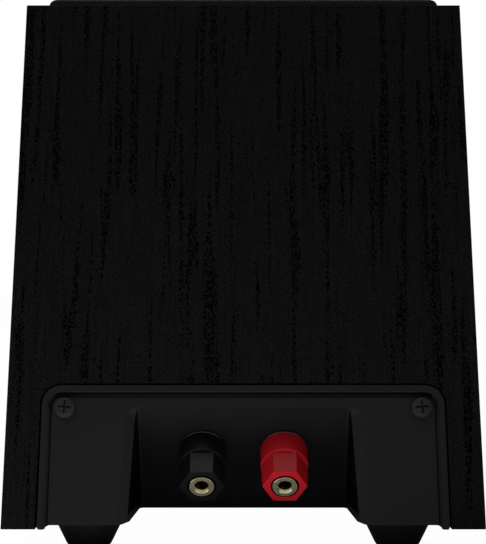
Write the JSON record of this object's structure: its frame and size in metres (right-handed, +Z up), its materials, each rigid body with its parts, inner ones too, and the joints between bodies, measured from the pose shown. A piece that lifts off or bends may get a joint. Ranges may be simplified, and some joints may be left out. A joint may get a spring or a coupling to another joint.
{
  "type": "wedge bookshelf speaker",
  "caption": "Wedge-shaped shelf speaker: wood-grain cabinet, sloping cloth grille over its drivers, slanted rear terminal recess with screw-cap posts, rubber feet.",
  "frame": {"origin": "on the standing surface, under the middle of the cabinet's width and depth", "axes": "+Z up, +Y towards the rear panel, +X to the listener's right seen from the front"},
  "size_m": [0.156, 0.2858, 0.1914],
  "materials": {
    "cabinet_vinyl": "black wood-grain vinyl over board, satin",
    "baffle_black": "plain black vinyl, matt",
    "foot_rubber": "matt moulded rubber",
    "cup_plastic": "finely textured satin plastic",
    "gasket_foam": "closed-cell foam",
    "screw_black": "black zinc, satin",
    "brass": "polished",
    "nut_steel": "zinc plated",
    "cap_red": "smooth moulded",
    "cap_black": "smooth moulded",
    "driver_black": "powder coated",
    "cone_pulp": "pressed fibre",
    "surround_rubber": "smooth rubber",
    "spider_cloth": "impregnated cotton",
    "copper": "enamelled wire",
    "motor_steel": "zinc plated",
    "ferrite": "pressed and ground",
    "dome_silk": "coated cloth",
    "board": "phenolic board",
    "capacitor_film": "wrapped film",
    "ceramic": "cast ceramic",
    "lead_red": "insulated wire",
    "lead_black": "insulated wire",
    "wadding": "loose polyester wadding",
    "grille_cloth": "black knitted cloth, stretched",
    "grille_frame": "moulded"
  },
  "bodies": {
    "cabinet": {"side_panel_left": "cabinet_vinyl", "side_panel_right": "cabinet_vinyl", "back_panel": "cabinet_vinyl", "baffle_board": "baffle_black", "front_panel": "cabinet_vinyl", "bottom_panel": "cabinet_vinyl", "foot_rear_left": "foot_rubber", "foot_rear_right": "foot_rubber", "foot_front_left": "foot_rubber", "foot_front_right": "foot_rubber", "terminal_cup": "cup_plastic", "terminal_gasket": "gasket_foam", "cup_screw_left": "screw_black", "cup_screw_right": "screw_black", "post_red_stud": "brass", "post_red_nut": "nut_steel", "post_black_stud": "brass", "post_black_nut": "nut_steel", "woofer_frame": "driver_black", "woofer_surround": "surround_rubber", "woofer_spider": "spider_cloth", "woofer_top_plate": "motor_steel", "woofer_magnet": "ferrite", "woofer_yoke": "motor_steel", "woofer_screw_1": "screw_black", "woofer_screw_2": "screw_black", "woofer_screw_3": "screw_black", "woofer_screw_4": "screw_black", "tweeter_face_plate": "driver_black", "tweeter_top_plate": "motor_steel", "tweeter_magnet": "ferrite", "tweeter_yoke": "motor_steel", "tweeter_screw_1": "screw_black", "tweeter_screw_2": "screw_black", "tweeter_screw_3": "screw_black", "grille_cup_rear_left": "surround_rubber", "grille_cup_rear_right": "surround_rubber", "grille_cup_front_left": "surround_rubber", "grille_cup_front_right": "surround_rubber", "crossover_board": "board", "crossover_inductor": "copper", "crossover_capacitor": "capacitor_film", "crossover_resistor": "ceramic", "lead_red": "lead_red", "lead_black": "lead_black", "lead_woofer": "lead_red", "lead_tweeter": "lead_black", "damping_pad": "wadding"},
    "grille": {"grille_cloth": "grille_cloth", "grille_frame": "grille_frame"},
    "woofer_diaphragm": {"woofer_cone": "cone_pulp", "woofer_dust_cap": "cone_pulp", "woofer_coil": "copper"},
    "tweeter_diaphragm": {"tweeter_dome": "dome_silk", "tweeter_coil": "copper"},
    "red_bush": {"post_red_insert": "brass"},
    "red_cap": {"post_red_cap": "cap_red"},
    "black_bush": {"post_black_insert": "brass"},
    "black_cap": {"post_black_cap": "cap_black"}
  },
  "joints": [
    {"name": "grille_lift", "type": "slide", "parent": "cabinet", "child": "grille", "axis": [0, -0.342, 0.9397], "range_m": [0, 0.03]},
    {"name": "woofer_travel", "type": "slide", "parent": "cabinet", "child": "woofer_diaphragm", "axis": [0, -0.342, 0.9397], "range_m": [-0.003, 0.003], "stiffness_N_per_m": 1500, "deforming": ["woofer_surround", "woofer_spider"]},
    {"name": "tweeter_travel", "type": "slide", "parent": "cabinet", "child": "tweeter_diaphragm", "axis": [0, -0.342, 0.9397], "range_m": [-0.0003, 0.0003], "stiffness_N_per_m": 1500},
    {"name": "red_cap_travel", "type": "slide", "parent": "cabinet", "child": "red_bush", "axis": [0, 0.8078, -0.5895], "range_m": [0, 0.00325]},
    {"name": "red_cap_turn", "type": "hinge", "parent": "red_bush", "child": "red_cap", "pos_m": [-0.01363, 0.11742, 0.03263], "axis": [0, 0.8078, -0.5895], "range_deg": [0, 1170]},
    {"name": "black_cap_travel", "type": "slide", "parent": "cabinet", "child": "black_bush", "axis": [0, 0.8078, -0.5895], "range_m": [0, 0.00325]},
    {"name": "black_cap_turn", "type": "hinge", "parent": "black_bush", "child": "black_cap", "pos_m": [0.01363, 0.11742, 0.03263], "axis": [0, 0.8078, -0.5895], "range_deg": [0, 1170]}
  ],
  "couplings": [
    {"joint": "red_cap_turn", "follows": "red_cap_travel", "rad_per_m": 6283.2},
    {"joint": "black_cap_turn", "follows": "black_cap_travel", "rad_per_m": 6283.2}
  ]
}
